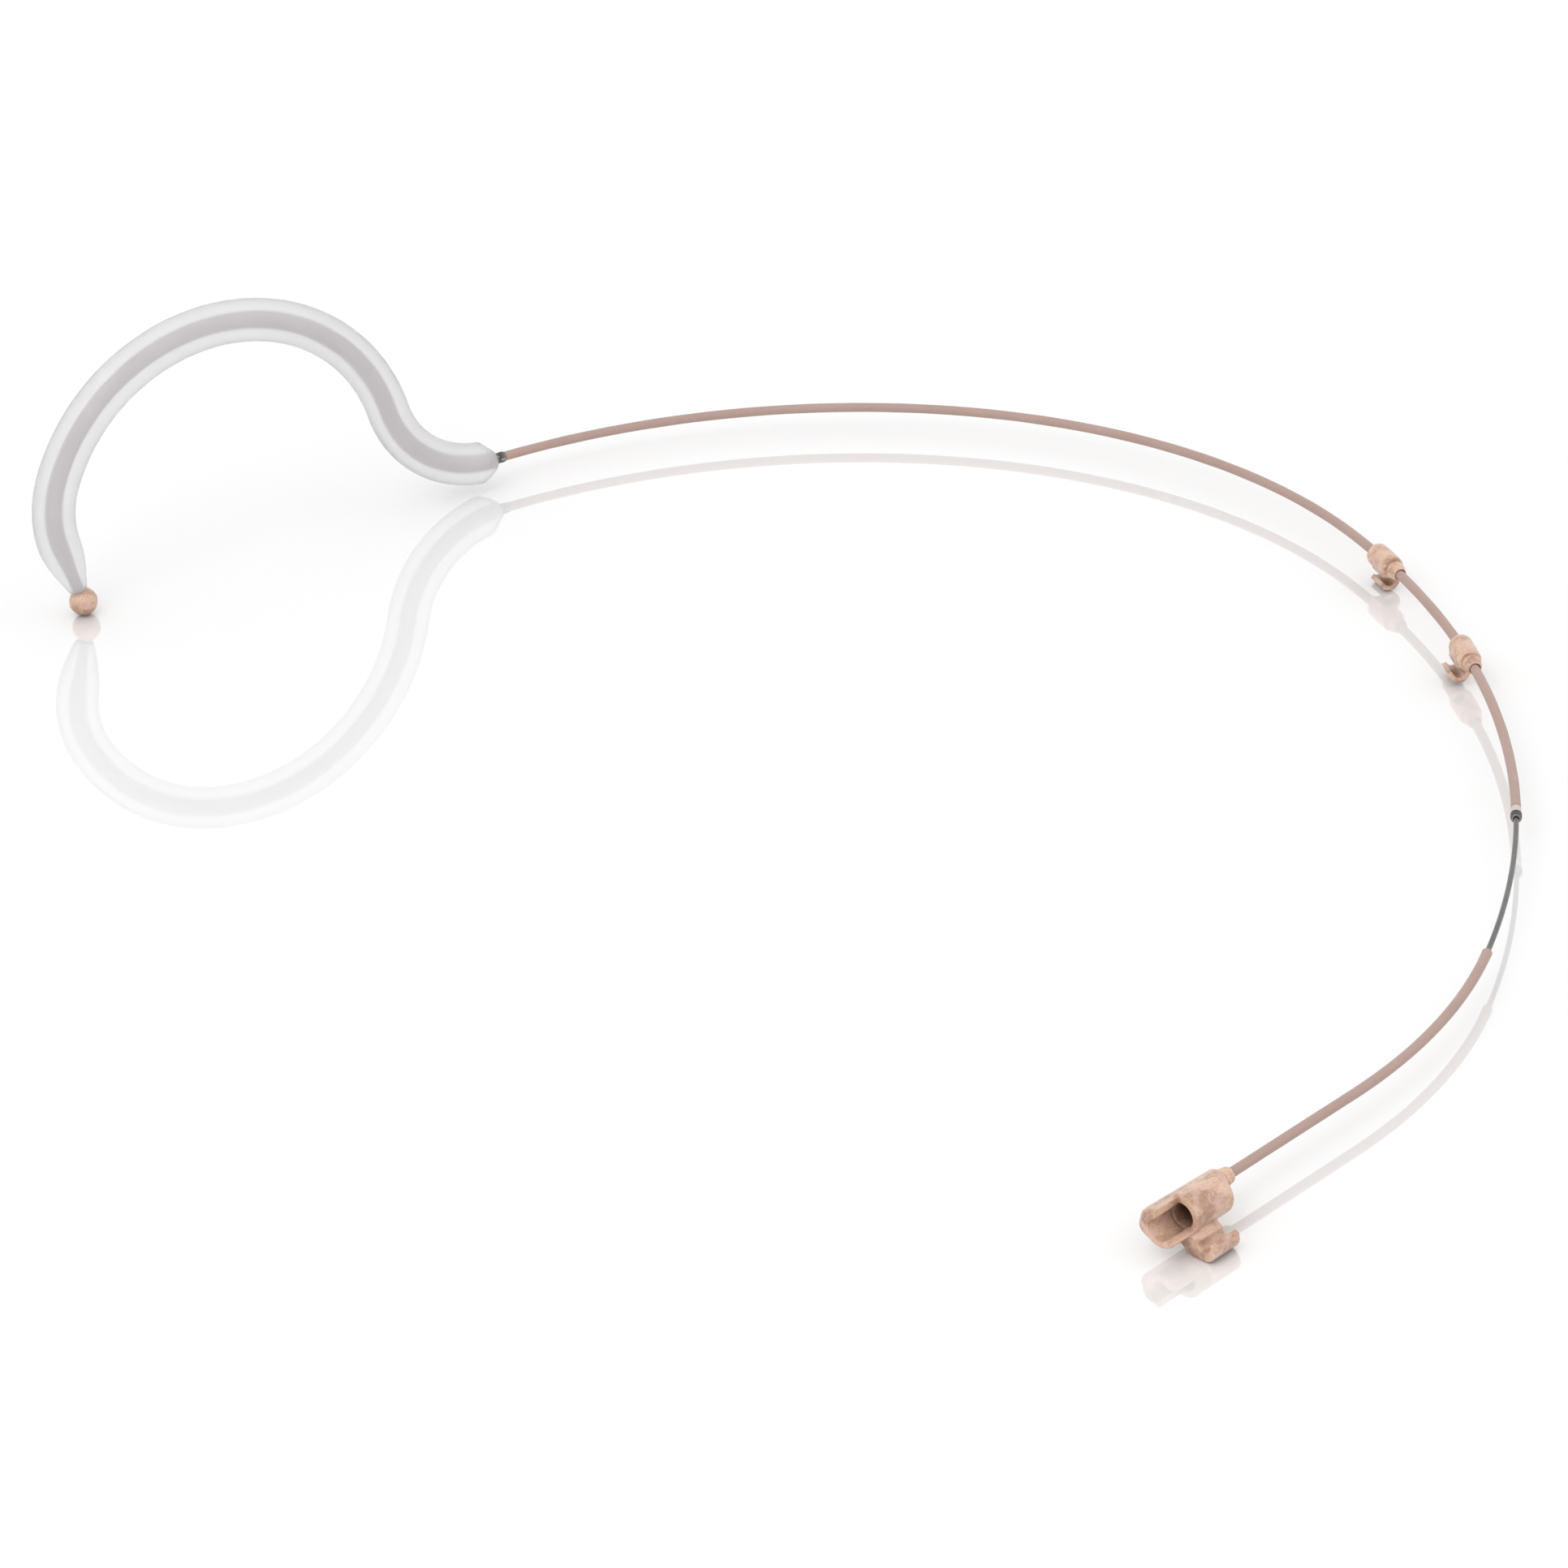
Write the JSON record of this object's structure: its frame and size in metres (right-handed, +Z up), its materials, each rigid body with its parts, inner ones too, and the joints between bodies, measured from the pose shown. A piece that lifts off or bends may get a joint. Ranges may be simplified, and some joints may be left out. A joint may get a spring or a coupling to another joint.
{
  "type": "headset microphone neckband frame",
  "caption": "Thin wire neckband with a silicone-covered ear hook, sliding cable clips, and a telescoping end that carries a moulded clamp for a microphone boom.",
  "frame": {"origin": "under the middle of the bounding box, on the surface that the frame lies on", "axes": "+Z up. The ear hook stands in the XZ plane, with its ball towards -X. The band leaves it towards +X and runs round in a level plane towards -Y."},
  "size_m": [0.1238, 0.183, 0.032],
  "materials": {
    "spring_steel": "drawn wire, semi-bright",
    "tube_steel": "drawn tube, satin",
    "band_skin": "flesh-toned satin skin",
    "clear_silicone": "soft translucent silicone, slightly frosted",
    "moulding": "flesh-toned moulded plastic, semi-gloss",
    "dark_steel": "darkened steel",
    "pale_ring": "pale smooth plastic"
  },
  "bodies": {
    "front_frame": {"ear_hook_wire": "spring_steel", "ear_hook_core_skin": "band_skin", "ear_hook_sleeve": "clear_silicone", "ear_hook_ball": "moulding", "hook_collar": "dark_steel", "front_tube": "tube_steel", "front_skin": "band_skin", "collar_ring": "pale_ring", "adjuster_collar": "dark_steel"},
    "slide_end": {"slide_wire": "spring_steel", "rear_skin": "band_skin", "entry_collar": "moulding", "wire_ferrule": "spring_steel"},
    "front_clip": {"front_cable_clip": "moulding"},
    "rear_clip": {"rear_cable_clip": "moulding"},
    "clamp": {"boom_clamp": "moulding"}
  },
  "joints": [
    {"name": "band_adjust", "type": "hinge", "parent": "front_frame", "child": "slide_end", "pos_m": [-0.05931, 0.02547, 0.0032], "axis": [0, 0, -1], "range_deg": [-12.4, 6.6]},
    {"name": "clamp_swivel", "type": "hinge", "parent": "slide_end", "child": "clamp", "pos_m": [-0.02347, -0.08388, 0.0032], "axis": [-0.9663, -0.2573, 0], "range_deg": [-45, 45]},
    {"name": "front_clip_slide", "type": "hinge", "parent": "front_frame", "child": "front_clip", "pos_m": [-0.05931, 0.02547, 0.0032], "axis": [0, 0, -1], "range_deg": [-2.1, 3.5]},
    {"name": "rear_clip_slide", "type": "hinge", "parent": "front_frame", "child": "rear_clip", "pos_m": [-0.05931, 0.02547, 0.0032], "axis": [0, 0, -1], "range_deg": [-4.2, 14.1]}
  ]
}
